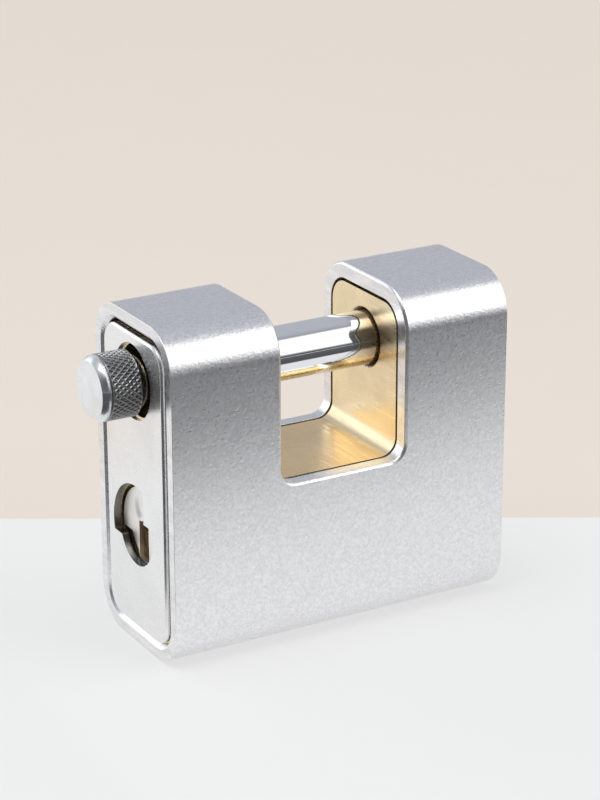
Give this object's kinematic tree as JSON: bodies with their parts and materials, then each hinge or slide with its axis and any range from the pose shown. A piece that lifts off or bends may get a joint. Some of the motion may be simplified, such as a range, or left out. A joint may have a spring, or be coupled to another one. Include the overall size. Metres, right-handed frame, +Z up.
{
  "type": "armoured block padlock",
  "caption": "Block padlock with a steel-sheathed brass body, a straight sliding bolt across a hasp notch, a knurled pull knob and a keyhole in the end plate.",
  "frame": {"origin": "centre of the flat base", "axes": "+Z up; X along the bolt, with the knob and the keyhole toward -X; -Y is the front"},
  "size_m": [0.0786, 0.03, 0.064],
  "materials": {
    "sheath_steel": "pearl satin chrome on steel",
    "body_brass": "satin machined brass",
    "plate_nickel": "bright satin nickel",
    "disc_nickel": "warm satin nickel",
    "bolt_chrome": "mirror polished",
    "cap_chrome": "fine turned",
    "knurl_steel": "diamond knurled",
    "cylinder_brass": "machined",
    "fixing_steel": "machined",
    "spring_steel": "drawn wire",
    "hardened_steel": "hardened"
  },
  "bodies": {
    "case": {"armour_sheath": "sheath_steel", "brass_body": "body_brass", "left_end_plate": "plate_nickel", "right_end_plate": "plate_nickel", "left_plate_studs": "fixing_steel", "right_plate_studs": "fixing_steel", "base_rivets": "fixing_steel", "bolt_stop_pin": "fixing_steel", "cylinder_housing": "cylinder_brass", "chamber_cover": "cylinder_brass", "drill_guard_pins": "hardened_steel", "latch_bore_plug": "cylinder_brass", "latch_spring": "spring_steel", "pin_spring_1": "spring_steel", "pin_spring_2": "spring_steel", "pin_spring_3": "spring_steel", "pin_spring_4": "spring_steel", "pin_spring_5": "spring_steel"},
    "bolt": {"shackle_bolt": "bolt_chrome", "knob_sleeve": "knurl_steel", "knob_cap": "cap_chrome"},
    "plug": {"cylinder_plug": "cylinder_brass", "keyhole_disc": "disc_nickel", "drill_guard_disc": "hardened_steel", "plug_clip": "hardened_steel", "cam_shaft": "fixing_steel"},
    "latch": {"latch": "fixing_steel"},
    "key_pin_body_1": {"key_pin_1": "cylinder_brass"},
    "driver_pin_body_1": {"driver_pin_1": "fixing_steel"},
    "key_pin_body_2": {"key_pin_2": "cylinder_brass"},
    "driver_pin_body_2": {"driver_pin_2": "fixing_steel"},
    "key_pin_body_3": {"key_pin_3": "cylinder_brass"},
    "driver_pin_body_3": {"driver_pin_3": "fixing_steel"},
    "key_pin_body_4": {"key_pin_4": "cylinder_brass"},
    "driver_pin_body_4": {"driver_pin_4": "fixing_steel"},
    "key_pin_body_5": {"key_pin_5": "cylinder_brass"},
    "driver_pin_body_5": {"driver_pin_5": "fixing_steel"}
  },
  "joints": [
    {"name": "bolt_slide", "type": "slide", "parent": "case", "child": "bolt", "axis": [-1, 0, 0], "range_m": [0, 0.0395]},
    {"name": "plug_turn", "type": "hinge", "parent": "case", "child": "plug", "pos_m": [-0.02, 0, 0.0223], "axis": [1, 0, 0], "range_deg": [0, 90]},
    {"name": "latch_lift", "type": "slide", "parent": "case", "child": "latch", "axis": [0, 0, 1], "range_m": [0, 0.0018], "deforming": ["latch_spring"]},
    {"name": "key_pin_1_slide", "type": "slide", "parent": "plug", "child": "key_pin_body_1", "axis": [0, 0, 1], "range_m": [0, 0.0012]},
    {"name": "driver_pin_1_slide", "type": "slide", "parent": "case", "child": "driver_pin_body_1", "axis": [0, 0, -1], "range_m": [0, 0.0025], "stiffness_N_per_m": 150, "springref_m": -0.002, "deforming": ["pin_spring_1"]},
    {"name": "key_pin_2_slide", "type": "slide", "parent": "plug", "child": "key_pin_body_2", "axis": [0, 0, 1], "range_m": [0, 0.0012]},
    {"name": "driver_pin_2_slide", "type": "slide", "parent": "case", "child": "driver_pin_body_2", "axis": [0, 0, -1], "range_m": [0, 0.0025], "stiffness_N_per_m": 150, "springref_m": -0.002, "deforming": ["pin_spring_2"]},
    {"name": "key_pin_3_slide", "type": "slide", "parent": "plug", "child": "key_pin_body_3", "axis": [0, 0, 1], "range_m": [0, 0.0012]},
    {"name": "driver_pin_3_slide", "type": "slide", "parent": "case", "child": "driver_pin_body_3", "axis": [0, 0, -1], "range_m": [0, 0.0025], "stiffness_N_per_m": 150, "springref_m": -0.002, "deforming": ["pin_spring_3"]},
    {"name": "key_pin_4_slide", "type": "slide", "parent": "plug", "child": "key_pin_body_4", "axis": [0, 0, 1], "range_m": [0, 0.0012]},
    {"name": "driver_pin_4_slide", "type": "slide", "parent": "case", "child": "driver_pin_body_4", "axis": [0, 0, -1], "range_m": [0, 0.0025], "stiffness_N_per_m": 150, "springref_m": -0.002, "deforming": ["pin_spring_4"]},
    {"name": "key_pin_5_slide", "type": "slide", "parent": "plug", "child": "key_pin_body_5", "axis": [0, 0, 1], "range_m": [0, 0.0012]},
    {"name": "driver_pin_5_slide", "type": "slide", "parent": "case", "child": "driver_pin_body_5", "axis": [0, 0, -1], "range_m": [0, 0.0025], "stiffness_N_per_m": 150, "springref_m": -0.002, "deforming": ["pin_spring_5"]}
  ],
  "couplings": [
    {"joint": "plug_turn", "follows": "latch_lift", "rad_per_m": 872.6}
  ]
}
